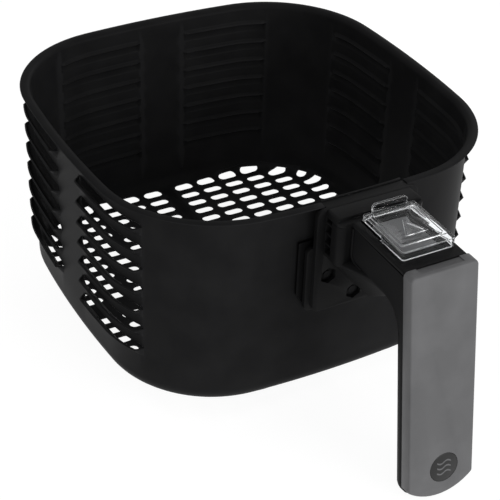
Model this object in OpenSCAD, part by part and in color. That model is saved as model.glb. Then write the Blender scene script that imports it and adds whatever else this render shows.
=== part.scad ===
// Basket of an air fryer with its release handle.
// Origin: middle of the underside of the basket. +Z up, the handle points to -Y.

/* [Basket] */
// Inside width across the basket
inner_w = 206; // [180:1:240]
// Inside depth from the handle side to the back
inner_d = 209; // [180:1:240]
// Height from the underside to the top of the rim
basket_h = 114.5; // [110:0.5:130]
// Inside radius of the upright corners
corner_r = 65; // [55:1:70]
// Thickness of the sheet steel
sheet = 1; // [0.8:0.1:1.2]
// Outside radius between the wall and the floor
floor_r = 10; // [6:1:12]
// Reach of the rolled rim from the inside of the wall
rim_w = 6; // [5:0.5:8]

/* [Louvres] */
// Louvres in one stack
louvre_count = 7; // [3:1:7]
// Height from one louvre to the next
louvre_pitch = 12.3; // [11:0.1:12.5]
// Reach of a louvre's lip from the inside of the wall
louvre_out = 4; // [3:0.1:4.5]
// Start of a stack along the wall, from the middle of its side
louvre_from = 14; // [10:1:20]
// Angle through which a stack runs on into the corner
louvre_turn = 26; // [10:1:30]

/* [Floor slots] */
// Length of a slot
slot_l = 11.9; // [9:0.1:13]
// Width of a slot
slot_w = 5.8; // [4:0.1:7]
// Distance between the columns
slot_dx = 15.5; // [14:0.1:17]
// Distance between the rows
slot_dy = 9.55; // [8.5:0.05:10]

/* [Handle] */
// Distance of the handle's middle from the middle of the basket
handle_x = 8; // [0:1:8]
// Half the width of the mounting plate
plate_hw = 28.5; // [28:0.5:30]
// Half the width of the block under the rim
block_hw = 24; // [23.5:0.5:25]
// Half the width of the neck
neck_hw = 17.5; // [17:0.5:18]
// Angle of the grip from upright
grip_tilt = 8.6; // [6:0.1:10]
// Length of the grip
grip_l = 125; // [115:1:130]
// Wall thickness of the mouldings
wall = 2; // [1.8:0.1:2.2]

/* [Release] */
// Travel of the clear guard towards the basket
guard_travel = 15; // [12:1:15]
// Travel of the release button
press_travel = 3.6; // [3:0.1:3.6]

/* [Hidden] */
$fn = 64;

// Clearances
run_gap = 0.3;                    // between pieces that slide on each other
fit_gap = 0.1;                    // between pieces that are fixed together

// Outline of the basket: straight sides and round corners
half_w = inner_w / 2;
half_d = inner_d / 2;
corner_x = half_w - corner_r;
corner_y = half_d - corner_r;

// Louvre profile, as distances outwards from the inside of the wall and up from the floor
louvre_dip = 1.5;                                // inward ramp above each slit
ramp_top = basket_h - 9.3;
ramp_low = basket_h - 11.5;
lip_top = basket_h - 12.2;
lip_root = basket_h - 17.2;

// Floor slots: whole slots in each row, counted from the middle row outwards
slot_x0 = 10.75;
slot_y0 = 9.6;
slot_rows = [6, 6, 6, 6, 6, 6, 6, 5, 5, 4];
last_row = len(slot_rows) - 1;
short_row = 7;                                   // row that ends in a shorter slot
short_slot = 6.5;                                // length of that slot

rim_gap = block_hw - 0.4;                        // half width of the rim's cut for the handle
rim_end = basket_h - 8;                          // height where that cut starts

// Front of the basket and the layers of the mounting
wall_y = -(half_d + sheet);                      // outside of the front wall
bracket_y = wall_y - fit_gap;
bracket_t = 1.2;
land_y = bracket_y - bracket_t;                  // back of the moulded lands
plate_y = land_y - 2.5;                          // back of the mounting plate
plate_t = 3.2;
front_y = plate_y - plate_t;                     // front of the mounting plate
plate_low = basket_h - 61;
bracket_top = basket_h - 20.5;
bracket_hw = 35;
land_hw = 31.5;
land_top = basket_h - 23.5;
plate_top = basket_h - 0.5;

// Neck and grip
neck_top = basket_h - 2.4;
lid_low = neck_top - wall;                       // underside of the neck's cover
block_low = basket_h - 27;
web_low = basket_h - 48;                         // foot of the web on the plate
raised_y = -122;                                 // front of the top that is level with the rim
step_y = -127;                                   // front of the wide part of the block
neck_y = -129;                                   // where the block has narrowed to the neck
neck_end = -169;
neck_low = basket_h - 25;
room_low = neck_low + wall;                      // floor of the space inside the neck
room_y = front_y - 0.7;                          // back of that space
room_hw = neck_hw - 2.2;
belly = 4;                                       // depth of the rounded underside of the neck
bend_y = -154.5;                                 // centre of the bend between neck and grip
bend_z = basket_h - 40;
bend_r = 12.5;
grip_y = -176;                                   // front of the grip at the top
grip_top = neck_top - 0.2;
cover_d = 6.6;                                   // depth of the grip's front shell
cover_hw = [17.2, 19];                           // its half width at the top and the bottom
core_hw = 17.4;
core_d = 9;                                      // depth of the grip behind its front shell
boss_l = 11;                                     // bosses of the front shell, from its inside
badge_at = [2.5, 15.5 - grip_l];                 // centre of the badge on the grip
badge_r = 8;
core_r = 8;

// Channels for the two prongs of the drawer's catch
channel = [9.6, 15.4];                           // inner and outer side
channel_top = basket_h - 9;
channel_y = plate_y - 1.8;                       // bottom of the channels, in the plate

// Mounting screws, as [distance from the handle's middle, height]
screw_at = [[-20.4, basket_h - 40.3], [20.4, basket_h - 40.3], [-4.8, basket_h - 54.5],
            [4.8, basket_h - 54.5]];
screw_r = 2;
nut_af = 7;                                      // across the flats of a nut
nut_t = 2.4;
pocket_af = 8;                                   // across the flats of a nut's pocket
pocket_y = front_y + 4.2;                        // bottom of the pockets

// Rivets of the wall bracket, as [distance from the handle's middle, height]
rivet_at = [[-30, basket_h - 30], [30, basket_h - 30], [-27, basket_h - 54],
            [27, basket_h - 54]];
rivet_r = 1.6;

// Latch
bolt_hw = 6;
bolt_z = 96;
bolt_h = 6;
tooth = [10.4, 14.6];                            // inner and outer side of a tooth
tooth_y = land_y - 0.7;                          // tip of the teeth at rest
head_y = room_y - 0.5;                           // back of the bolt's cross head
head_l = 4.5;
pin_y = -145;
pin_z = 99.5;
pin_r = 1.5;
bolt_end = -148.5;
button_y = [-131, -157];                         // back and front of the button
button_hw = 9.6;
button_top = neck_top + 0.1;
button_t = 2.6;
button_seat = button_top - button_t;             // underside of the button's top
carrier_t = 2;
stem = [6.6, 8.2];                               // inner and outer side of a stem
stem_y = [-139, -152];
stem_low = pin_z - 3.3;
cradle_z = bolt_z + bolt_h + 0.4;
cradle_t = 1.2;
cradle_hw = 4.5;
post_x = 12.2;                                   // posts that carry the cradle
post_y = [-132, -155.4];
post_r = 2.4;
spring_y = -145.5;
spring_r = 3.3;
wire_r = 0.25;
spring_turns = 3;

// Guard
guard_y = [-128, -161];
guard_hw = 13.8;
guard_top = basket_h + 3.5;
guard_low = neck_top + 0.4;
guard_t = 1.4;
skirt_y = -144;                                  // back of the skirt's deep part
tab_hw = 9.7;
tab_top = basket_h + 7.8;
foot = [11.9, 13.1];                             // inner and outer side of a foot
foot_y = [-141, -149];
foot_low = lid_low - 1.5;

// Screws that hold the neck's cover, as [distance from the middle, y]
lid_screw_at = [[-19.4, -116.5], [19.4, -116.5], [-12, -163], [12, -163]];
lid_screw_r = 1.3;
lid_post_r = 2.8;                                // posts that take them, and their sinkings
lid_sink = 3.2;                                  // depth of those sinkings, from 1 mm below

// Screws that hold the grip's front shell, as distances down the grip
grip_screw_at = [28, 70, 108];

// Hollow in the back of the grip
hollow_hw = 13;
hollow_top = 18;                                 // distance from the top of the grip
hollow_low = 14;                                 // distance from its foot

function arc(cx, cy, r, a0, a1, n) =
    [for (i = [0:n]) let (a = a0 + (a1 - a0) * i / n) [cx + r * cos(a), cy + r * sin(a)]];

// Outline of the basket's inside, moved outwards by d
function outline(d) = concat(
    arc(corner_x, corner_y, corner_r + d, 0, 90, 24),
    arc(-corner_x, corner_y, corner_r + d, 90, 180, 24),
    arc(-corner_x, -corner_y, corner_r + d, 180, 270, 24),
    arc(corner_x, -corner_y, corner_r + d, 270, 360, 24)
);

// A box given by its two corners, beside the handle's middle plane
module block(x, y, z) {
    translate([handle_x + x[0], min(y), min(z)])
        cube([x[1] - x[0], abs(y[1] - y[0]), abs(z[1] - z[0])]);
}

// A round bar along Y, from y0 to y1
module bar_y(x, z, r, y0, y1) {
    translate([handle_x + x, max(y0, y1), z])
        rotate([90, 0, 0])
            cylinder(r = r, h = abs(y1 - y0));
}

// A round bar along X, centred on the handle's middle plane
module bar_x(y, z, r, l) {
    translate([handle_x - l / 2, y, z])
        rotate([0, 90, 0])
            cylinder(r = r, h = l);
}

// An outline drawn in the plane of Y and Z, given a width along X
module side_plate(points, x0, x1) {
    translate([handle_x + x0, 0, 0])
        rotate([90, 0, 90])
            linear_extrude(x1 - x0) polygon(points);
}

// Section of the wall: rounded foot, upright wall, rim rolled outwards.
// X is the distance outwards from the inside of the wall, Y is the height.
module wall_section() {
    foot = sheet - floor_r;
    bend = 3;
    polygon(concat(
        [[foot - 3, 0]],
        arc(foot, floor_r, floor_r, -90, 0, 8),
        arc(bend, basket_h - bend, bend - sheet, 180, 90, 6),
        [[rim_w, basket_h - sheet - 0.3], [rim_w, basket_h - 0.3]],
        arc(bend, basket_h - bend, bend, 90, 180, 6),
        arc(foot, floor_r, floor_r - sheet, 0, -90, 8),
        [[foot - 3, sheet]]
    ));
}

module slit_section() {
    for (k = [0:louvre_count - 1])
        translate([-1, lip_root - k * louvre_pitch])
            square([sheet + 2, ramp_top - lip_root]);
}

// Lip below each slit, leaning outwards, and ramp above it, leaning inwards
module lip_section() {
    for (k = [0:louvre_count - 1])
        translate([0, -k * louvre_pitch]) {
            polygon([
                [0, lip_root], [sheet, lip_root], [louvre_out + 0.8 * sheet, lip_top - 0.6 * sheet],
                [louvre_out, lip_top]
            ]);
            polygon([
                [0, ramp_top], [sheet, ramp_top], [sheet - louvre_dip, ramp_low - 0.3 * sheet],
                [-louvre_dip, ramp_low]
            ]);
        }
}

// Sweeps a section round a corner from its first side, and back along that side.
// Origin: the corner's own centre.
module sweep(turn, straight) {
    rotate_extrude(angle = turn, $fn = 180) translate([corner_r, 0]) children();
    translate([corner_r, 0, 0]) rotate([90, 0, 0]) linear_extrude(straight) children();
}

// Repeats a shape that is made at the corner's centre, in all four corners
module at_corners(sides_y) {
    for (sx = [0, 1], sy = sides_y)
        mirror([sx, 0, 0]) mirror([0, sy, 0]) translate([corner_x, corner_y, 0]) children();
}

// The stacks of louvres, two on each side but the handle's, with their ends drawn back by d
module at_stacks(d) {
    turn = louvre_turn - d;
    at_corners([0, 1]) sweep(turn, corner_y - louvre_from - d) children();
    at_corners([0]) mirror([1, -1, 0]) sweep(turn, corner_x - louvre_from - d) children();
}

module slot(l) {
    square([l - slot_w, slot_w], center = true);
    for (side = [-1, 1])
        translate([side * (l - slot_w) / 2, 0]) circle(d = slot_w, $fn = 24);
}

// The slots of one row from number i0 on, in all four quarters of the floor
module slot_row(k, i0) {
    n = slot_rows[k];
    y = slot_y0 + k * slot_dy;
    for (sx = [-1, 1], sy = [-1, 1]) {
        if (i0 < n)
            for (i = [i0:n - 1])
                translate([sx * (slot_x0 + i * slot_dx), sy * y]) slot(slot_l);
        if (k == short_row)
            translate([sx * (slot_x0 + n * slot_dx - (slot_l - short_slot) / 2), sy * y])
                slot(short_slot);
    }
}

module basket_shell() color("#2b2b2c") {
    difference() {
        union() {
            at_corners([0, 1]) sweep(90, corner_y) wall_section();
            at_corners([0, 1]) translate([-corner_x, corner_r, 0]) rotate([90, 0, 90])
                linear_extrude(corner_x) wall_section();
            linear_extrude(sheet) difference() {
                polygon(outline(-floor_r - 0.5));
                for (k = [0:last_row]) slot_row(k, 0);
            }
        }
        // The outermost slots run into the rounded foot of the wall
        translate([0, 0, -1]) linear_extrude(floor_r / 2 + 1)
            for (k = [0:last_row]) slot_row(k, k == last_row ? 0 : slot_rows[k] - 1);
        at_stacks(0) slit_section();
        block([-rim_gap, rim_gap], [wall_y - 10, wall_y], [rim_end, basket_h + 1]);
        for (p = screw_at)
            bar_y(p[0], p[1], screw_r + fit_gap, wall_y - 5, wall_y + 10);
        for (p = rivet_at)
            bar_y(p[0], p[1], rivet_r, wall_y - 5, wall_y + 10);
    }
    at_stacks(0.3) lip_section();
    // Bare top edge of the wall where the rim is cut away for the handle
    block([-rim_gap, rim_gap], [wall_y, wall_y + sheet], [rim_end, basket_h]);
}

module wall_bracket() color("#1f1f20") {
    difference() {
        translate([0, bracket_y, 0]) rotate([90, 0, 0]) linear_extrude(bracket_t)
            polygon([
                [handle_x - bracket_hw, bracket_top], [handle_x + bracket_hw, bracket_top],
                [handle_x + bracket_hw, plate_low + 10],
                [handle_x + bracket_hw - 6, plate_low],
                [handle_x - bracket_hw + 6, plate_low],
                [handle_x - bracket_hw, plate_low + 10]
            ]);
        for (p = screw_at)
            bar_y(p[0], p[1], screw_r + fit_gap, wall_y, land_y - 1);
        for (p = rivet_at)
            bar_y(p[0], p[1], rivet_r, wall_y, land_y - 1);
    }
}

// Blind rivets: shank through the wall and the bracket, head inside the basket
module bracket_rivets() color("#3a3a3b") {
    for (p = rivet_at) {
        bar_y(p[0], p[1], rivet_r - 0.02, wall_y + sheet + 0.05, land_y + 0.05);
        bar_y(p[0], p[1], 2.9, wall_y + sheet + 1.9, wall_y + sheet + 0.9);
    }
}

// A six-sided prism along Y, from y0 to y1
module hex_y(x, z, flats, y0, y1) {
    translate([handle_x + x, max(y0, y1), z])
        rotate([90, 30, 0])
            cylinder(d = flats / cos(30), h = abs(y1 - y0), $fn = 6);
}

// The block and the neck seen from above, drawn inwards by d
module plan(d, y_back) {
    polygon([
        [d - block_hw, y_back], [block_hw - d, y_back], [block_hw - d, step_y],
        [neck_hw - d, neck_y], [neck_hw - d, neck_end], [d - neck_hw, neck_end],
        [d - neck_hw, neck_y], [d - block_hw, step_y]
    ]);
}

// The grip's own frame: origin at the top of its front face, -Z down the grip, +Y to the back
module grip_frame() {
    translate([handle_x, grip_y, grip_top])
        rotate([-grip_tilt, 0, 0])
            children();
}

// Front view of the grip up to the given height, drawn inwards by d: slightly wider at the
// foot, with a bowed end
module grip_face(d, top) {
    low = -grip_l + d;
    bow = 7;
    hw = cover_hw[1] - d;
    r = (hw * hw + bow * bow) / (2 * bow);
    half = asin(hw / r);
    polygon(concat(
        [[d - cover_hw[0], top], [cover_hw[0] - d, top]],
        arc(0, low + r, r, half - 90, -half - 90, 12)
    ));
}

// Section of the grip's back, flat in front and rounded behind
module core_section() {
    x = core_hw - core_r;
    deep = core_d - core_r;
    polygon(concat(
        [[-core_hw, 0], [core_hw, 0]],
        arc(x, deep, core_r, 0, 90, 8), arc(-x, deep, core_r, 90, 180, 8)
    ));
}

module plate_outline() {
    r = 4;
    x = plate_hw - r;
    polygon(concat(
        arc(x, plate_top - r, r, 0, 90, 8), arc(-x, plate_top - r, r, 90, 180, 8),
        arc(-x, plate_low + r, r, 180, 270, 8), arc(x, plate_low + r, r, 270, 360, 8)
    ));
}

// Outside of the handle's main moulding
module frame_body() {
    translate([handle_x, plate_y, 0]) rotate([90, 0, 0]) linear_extrude(plate_t) plate_outline();
    block([-land_hw, land_hw], [land_y, plate_y], [plate_low, land_top]);
    translate([handle_x, 0, block_low]) linear_extrude(lid_low - block_low)
        intersection() {
            plan(0, wall_y - 0.2);
            translate([-block_hw, neck_y]) square([2 * block_hw, 30]);
        }
    // Filling of the rim's cut, between the bare edge of the wall and the plate
    block([run_gap - rim_gap, rim_gap - run_gap], [wall_y - 0.2, plate_y - 1],
          [lid_low - 1, plate_top]);
    // Neck with a chamfered underside
    hull() {
        block([-neck_hw, neck_hw], [neck_y, neck_end], [neck_low, lid_low]);
        block([-neck_hw + 5, neck_hw - 5], [neck_y, neck_end + 5], [neck_low - belly, lid_low]);
    }
    // Web that runs from the plate down under the neck
    hull() {
        block([-block_hw, block_hw], [front_y + 1, front_y], [block_low, block_low + 1]);
        block([-6, 6], [front_y + 1, front_y], [web_low, block_low]);
        block([-neck_hw + 5, neck_hw - 5], [neck_y, -150], [neck_low - belly, neck_low]);
    }
    // Back of the grip, and the fillet under the neck
    intersection() {
        grip_frame() {
            translate([0, cover_d + fit_gap, -grip_l + 3]) linear_extrude(grip_l + 10)
                core_section();
            // Tongue that centres the front shell
            translate([0, cover_d + 2, 0]) rotate([90, 0, 0]) linear_extrude(6.4)
                grip_face(wall + fit_gap, -6);
        }
        block([-25, 25], [-145, -215], [-30, lid_low]);
    }
    difference() {
        block([-core_hw, core_hw], [bend_y, -169], [bend_z, neck_low]);
        bar_x(bend_y, bend_z, bend_r, 60);
    }
}

// Column of windows in each side of the block
module side_windows() {
    for (k = [0:3])
        block([-block_hw - 1, block_hw + 1], [front_y - 0.8, front_y - 5.8],
              [basket_h - 24.4 + k * 5.9 - 1, basket_h - 24.4 + k * 5.9 + 3.5]);
}

module handle_frame() color("#1d1d1e") {
    difference() {
        frame_body();
        // Space for the latch, open at the top
        block([-room_hw, room_hw], [room_y, neck_end + 3], [room_low, lid_low + 1]);
        block([2.2 - block_hw, block_hw - 2.2], [room_y, step_y + 1.5], [room_low, lid_low + 1]);
        side_windows();
        for (side = [-1, 1]) {
            x = side < 0 ? [-channel[1], -channel[0]] : [channel[0], channel[1]];
            w = side < 0 ? [-tooth[1] - run_gap, -tooth[0] + run_gap]
                         : [tooth[0] - run_gap, tooth[1] + run_gap];
            block(x, [wall_y, channel_y], [plate_low - 1, channel_top]);
            block(w, [channel_y + 1, room_y - 1], [bolt_z - run_gap, bolt_z + bolt_h + run_gap]);
        }
        for (p = screw_at) {
            bar_y(p[0], p[1], screw_r + fit_gap, wall_y, front_y - 1);
            hex_y(p[0], p[1], pocket_af, pocket_y, front_y - 1);
        }
        for (p = rivet_at)
            bar_y(p[0], p[1], rivet_r + 0.9, wall_y, land_y - 1);
        for (p = lid_screw_at) {
            low = p[1] > neck_y ? block_low : neck_low - belly;
            translate([handle_x + p[0], p[1], low - 1]) cylinder(r = lid_post_r, h = lid_sink);
            translate([handle_x + p[0], p[1], low]) cylinder(r = lid_screw_r, h = lid_low - low);
        }
        // Room for the wall bracket and, behind the plate's ears, for the rim
        block([-block_hw - 1, block_hw + 1], [wall_y, land_y],
              [block_low - 1, bracket_top + run_gap]);
        for (x = [[-plate_hw - 1, run_gap - rim_gap], [rim_gap - run_gap, plate_hw + 1]])
            block(x, [wall_y, wall_y - rim_w + sheet - run_gap],
                  [basket_h - sheet - 0.6, basket_h]);
        // Inside of the grip
        grip_frame() {
            translate([-hollow_hw, wall, -grip_l + hollow_low])
                cube([2 * hollow_hw, core_d + wall, grip_l - hollow_low - hollow_top]);
            for (s = grip_screw_at)
                translate([0, core_d, -s]) rotate([-90, 0, 0]) cylinder(r = 1.7, h = 15);
            for (s = grip_screw_at)
                translate([0, cover_d + core_d - 1.4, -s]) rotate([-90, 0, 0])
                    cylinder(r = 3.2, h = 10);
        }
    }
    // Posts inside the neck
    for (p = lid_screw_at) difference() {
        translate([handle_x + p[0], p[1], room_low - 1])
            cylinder(r = lid_post_r, h = lid_low - room_low + 1);
        translate([handle_x + p[0], p[1], room_low - 3])
            cylinder(r = lid_screw_r, h = lid_low);
    }
    for (side = [-1, 1], y = post_y) difference() {
        translate([handle_x + side * post_x, y, room_low - 1])
            cylinder(r = post_r, h = cradle_z - room_low + 1);
        translate([handle_x + side * post_x, y, room_low]) cylinder(r = 1, h = 30);
    }
}

module neck_cover() color("#1e1e1f") {
    difference() {
        translate([handle_x, 0, lid_low + 0.05]) linear_extrude(wall - 0.05) difference() {
            plan(0, front_y - fit_gap);
            translate([-button_hw - run_gap, button_y[1] - run_gap])
                square([2 * (button_hw + run_gap), button_y[0] - button_y[1] + 2 * run_gap]);
            for (side = [-1, 1])
                translate([side * (foot[0] + foot[1]) / 2 - 0.9, foot_y[1] - run_gap])
                    square([1.8, foot_y[0] - foot_y[1] + guard_travel + 2 * run_gap]);
        }
        for (p = lid_screw_at)
            translate([handle_x + p[0], p[1], lid_low - 1]) cylinder(r = lid_screw_r, h = 2);
    }
    block([-block_hw, block_hw], [front_y - fit_gap, raised_y], [neck_top - 0.5, plate_top]);
}

// Screws driven up from under the block and the neck
module cover_screws() color("#8d8f92") {
    for (p = lid_screw_at) {
        low = p[1] > neck_y ? block_low : neck_low - belly;
        translate([handle_x + p[0], p[1], low + 0.5]) cylinder(r = 2.5, h = 1.65);
        translate([handle_x + p[0], p[1], low + 0.5])
            cylinder(r = lid_screw_r - 0.02, h = lid_low + 0.9 - low - 0.5);
    }
}

module grip_cover() color("#6e6e6f") {
    intersection() {
        grip_frame() difference() {
            translate([0, cover_d, 0]) rotate([90, 0, 0]) linear_extrude(cover_d)
                grip_face(0, 4);
            translate([0, cover_d + 1, 0]) rotate([90, 0, 0]) linear_extrude(cover_d + 1 - wall)
                grip_face(wall, -wall);
            // Seat of the badge
            translate([badge_at[0], 0.8, badge_at[1]]) rotate([90, 0, 0])
                cylinder(r = badge_r + fit_gap, h = 2);
        }
        block([-25, 25], [-150, -215], [-30, grip_top]);
    }
    // Bosses for the screws
    grip_frame()
        for (s = grip_screw_at) difference() {
            translate([0, wall - fit_gap, -s]) rotate([-90, 0, 0]) cylinder(r = 3, h = boss_l);
            translate([0, 4, -s]) rotate([-90, 0, 0]) cylinder(r = 1.5, h = 12);
        }
}

// Round badge without any lettering
module grip_badge() color("#262627") {
    grip_frame() translate([badge_at[0], 0.75, badge_at[1]]) rotate([90, 0, 0])
        cylinder(r = badge_r, h = 0.7);
}

module grip_screws() color("#8d8f92") {
    grip_frame()
        for (s = grip_screw_at) {
            translate([0, 4.5, -s]) rotate([-90, 0, 0])
                cylinder(r = 1.48, h = cover_d + core_d - 1 - 4.5);
            translate([0, cover_d + core_d - 1.35, -s]) rotate([-90, 0, 0])
                cylinder(r = 2.9, h = 1.3);
        }
}

// Screws from the inside of the basket into the nuts in the plate
module mount_screws() color("#4a4b4d") {
    for (p = screw_at) {
        bar_y(p[0], p[1], screw_r - 0.02, wall_y + sheet + 1, pocket_y - nut_t - 0.4);
        bar_y(p[0], p[1], 3.9, wall_y + sheet + 2.8, wall_y + sheet + 0.45);
    }
}

module mount_nuts() color("#3a3b3d") {
    for (p = screw_at) difference() {
        hex_y(p[0], p[1], nut_af, pocket_y - 0.05, pocket_y - 0.05 - nut_t);
        bar_y(p[0], p[1], screw_r, pocket_y + 1, pocket_y - 5);
    }
}

// Clear guard: a tray turned upside down, with a finger tab and two feet that run under the cover
module safety_guard() color([0.85, 0.87, 0.88, 0.45]) {
    difference() {
        block([-guard_hw, guard_hw], guard_y, [guard_low, guard_top]);
        block([guard_t - guard_hw, guard_hw - guard_t], [guard_y[0] - guard_t, guard_y[1] + guard_t],
              [guard_low - 1, guard_top - guard_t]);
        // Shallow inset that leaves a raised border
        block([-10.4, 10.4], [guard_y[0] - 3.6, guard_y[1] + 6.4], [guard_top - 0.4, guard_top + 1]);
        // The rear of the skirt clears the raised top of the block
        block([-guard_hw - 1, guard_hw + 1], [guard_y[0] + 1, skirt_y],
              [guard_low - 1, plate_top + run_gap]);
    }
    block([-tab_hw, tab_hw], [guard_y[0] + 0.3, guard_y[0] - 1.5], [guard_top - 0.5, tab_top]);
    for (side = [-1, 1]) {
        blade = side < 0 ? [-foot[1], -foot[0]] : foot;
        hook = side < 0 ? [-foot[1] - 1.1, -foot[0]] : [foot[0], foot[1] + 1.1];
        block(blade, foot_y, [foot_low, guard_low + 1]);
        block(hook, foot_y, [foot_low, lid_low - run_gap]);
    }
}

// Leaf that presses on a foot of the guard, so that the guard stays where it is put
module guard_detent() color("#b9bbbd") {
    block([-room_hw + 0.05, -room_hw + 0.45], [foot_y[0] + 6, foot_y[1] - 6], [104, 109.4]);
}

module release_button() color("#6a6a6b") {
    difference() {
        block([-button_hw, button_hw], button_y, [button_seat - 2, button_top]);
        block([1.2 - button_hw, button_hw - 1.2], [button_y[0] - 1.2, button_y[1] + 1.2],
              [button_seat - 3, button_seat]);
    }
}

// Carrier under the button: its stems hold the slots that draw the bolt back
module button_carrier() color("#242425") {
    difference() {
        union() {
            block([-stem[1], stem[1]], [button_y[0] - 1.3, button_y[1] + 1.3],
                  [button_seat - carrier_t, button_seat]);
            for (side = [-1, 1])
                block(side < 0 ? [-stem[1], -stem[0]] : stem, stem_y, [stem_low, button_seat - 1]);
        }
        translate([handle_x, spring_y, stem_low]) cylinder(r = spring_r + 0.9, h = 30);
        cam_slot();
    }
}

// Slot at 45 degrees, so that the bolt draws back by as much as the button goes down
module cam_slot() {
    r = pin_r + run_gap;
    run = press_travel;
    for (s = [0, run])
        bar_x(pin_y - s, pin_z + s, r, 40);
    translate([handle_x - 20, pin_y - run / 2, pin_z + run / 2]) rotate([45, 0, 0])
        translate([0, -r, -run * sqrt(2) / 2]) cube([40, 2 * r, run * sqrt(2)]);
}

// Coil of round wire: centre, radius, wire radius, lowest and highest point, turns
module coil(centre, r, wire, low, high, turns) {
    sides = 8;
    rings = 16 * turns;
    points = [
        for (i = [0:rings], j = [0:sides - 1])
            let (a = 360 * turns * i / rings, b = 360 * j / sides,
                 z = low + wire + (high - low - 2 * wire) * i / rings,
                 d = r + wire * cos(b))
            [centre[0] + d * cos(a), centre[1] + d * sin(a), z + wire * sin(b)]
    ];
    sides_faces = [
        for (i = [0:rings - 1], j = [0:sides - 1])
            let (a = i * sides + j, b = i * sides + (j + 1) % sides)
            [a, a + sides, b + sides, b]
    ];
    polyhedron(points, concat(
        sides_faces,
        [[for (j = [0:sides - 1]) j]],
        [[for (j = [sides - 1:-1:0]) rings * sides + j]]
    ));
}

module button_spring() color("#c9cbcd") {
    coil([handle_x, spring_y], spring_r, wire_r, cradle_z + cradle_t + 0.05, button_seat - 0.05,
         spring_turns);
}

// Sliding bolt: two teeth, a cross head and a bar that the cam pin goes through
module latch_bolt() color("#c4a24c") {
    difference() {
        union() {
            block([-bolt_hw, bolt_hw], [head_y, bolt_end], [bolt_z, bolt_z + bolt_h]);
            block([-tooth[1], tooth[1]], [head_y, head_y - head_l], [bolt_z, bolt_z + bolt_h]);
            for (side = [-1, 1])
                side_plate([
                    [tooth_y, bolt_z + bolt_h], [tooth_y, bolt_z + bolt_h - 1.5],
                    [tooth_y - 3, bolt_z], [head_y - 1, bolt_z], [head_y - 1, bolt_z + bolt_h]
                ], side < 0 ? -tooth[1] : tooth[0], side < 0 ? -tooth[0] : tooth[1]);
        }
        bar_x(pin_y, pin_z, pin_r, 40);
    }
}

module cam_pin() color("#b9bbbd") {
    bar_x(pin_y, pin_z, pin_r - 0.01, 2 * stem[1] + 0.2);
}

// Bridge over the bolt: holds the bolt down and carries the spring
module latch_cradle() color("#2c2c2d") {
    difference() {
        union() {
            block([-cradle_hw, cradle_hw], [post_y[0] + 2, post_y[1] - 2],
                  [cradle_z, cradle_z + cradle_t]);
            for (y = post_y)
                block([-post_x - post_r, post_x + post_r], [y + 2, y - 2], [cradle_z, cradle_z + cradle_t]);
        }
        for (side = [-1, 1], y = post_y)
            translate([handle_x + side * post_x, y, cradle_z - 1]) cylinder(r = 1.2, h = 5);
    }
}

module cradle_screws() color("#8d8f92") {
    for (side = [-1, 1], y = post_y)
        translate([handle_x + side * post_x, y, 0]) {
            translate([0, 0, room_low + 2])
                cylinder(r = 0.98, h = cradle_z + cradle_t - room_low - 2);
            translate([0, 0, cradle_z + cradle_t + 0.05]) cylinder(r = 2, h = 1.2);
        }
}

basket_shell();
wall_bracket();
bracket_rivets();
handle_frame();
neck_cover();
cover_screws();
grip_cover();
grip_badge();
grip_screws();
mount_screws();
mount_nuts();
safety_guard();
guard_detent();
release_button();
button_carrier();
button_spring();
latch_bolt();
cam_pin();
latch_cradle();
cradle_screws();
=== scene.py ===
import math

import bmesh
import bpy
from mathutils import Euler, Matrix, Vector
from mathutils.geometry import delaunay_2d_cdt


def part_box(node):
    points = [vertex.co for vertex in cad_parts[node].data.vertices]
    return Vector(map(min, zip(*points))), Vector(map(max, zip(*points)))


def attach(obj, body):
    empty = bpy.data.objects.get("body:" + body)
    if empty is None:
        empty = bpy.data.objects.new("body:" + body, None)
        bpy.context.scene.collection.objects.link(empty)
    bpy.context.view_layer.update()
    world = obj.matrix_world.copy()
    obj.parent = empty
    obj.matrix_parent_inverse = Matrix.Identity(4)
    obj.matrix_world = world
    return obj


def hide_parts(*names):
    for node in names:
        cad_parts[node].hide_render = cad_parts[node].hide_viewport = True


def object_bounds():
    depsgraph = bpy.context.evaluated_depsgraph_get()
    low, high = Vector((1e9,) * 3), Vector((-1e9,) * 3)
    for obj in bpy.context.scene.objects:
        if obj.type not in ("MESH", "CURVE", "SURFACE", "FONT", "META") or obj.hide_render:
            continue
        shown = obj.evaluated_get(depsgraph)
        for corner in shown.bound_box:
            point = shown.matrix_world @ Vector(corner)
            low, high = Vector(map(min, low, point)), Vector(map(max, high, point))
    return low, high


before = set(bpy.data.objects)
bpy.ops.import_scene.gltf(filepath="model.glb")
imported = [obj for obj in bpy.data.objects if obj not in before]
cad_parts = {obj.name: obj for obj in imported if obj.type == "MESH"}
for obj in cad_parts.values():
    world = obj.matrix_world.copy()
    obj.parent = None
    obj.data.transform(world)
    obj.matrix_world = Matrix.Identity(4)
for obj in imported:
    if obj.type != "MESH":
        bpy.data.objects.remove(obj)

CAD_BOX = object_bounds()
MM = 0.001

# ---------------------------------------------------------------- sizes, in millimetres
SHELL_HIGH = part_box("basket_shell")[1] / MM
BRACKET_LOW, BRACKET_HIGH = (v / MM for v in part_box("wall_bracket"))
LID_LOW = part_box("neck_cover")[0] / MM
BUTTON_LOW, BUTTON_HIGH = (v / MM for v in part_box("release_button"))
BADGE_LOW, BADGE_HIGH = (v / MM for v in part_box("grip_badge"))

SHEET = 1.0                       # thickness of the basket's steel
SHELL_FRONT = -105.5              # outside of the wall behind the handle
RIM = 6.0                         # reach of the rolled rim from the inside of the wall
HALF_W = SHELL_HIGH.x - RIM       # inside half width and depth, at the middle of the sides
HALF_D = SHELL_HIGH.y - RIM
TOP = SHELL_HIGH.z                # top of the rim
CORNER = 60.0                     # inside radius of the upright corners
CROWN = 1.7                       # how far the sides bow out
FOOT = 10.0                       # outside radius between the wall and the floor

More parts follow.
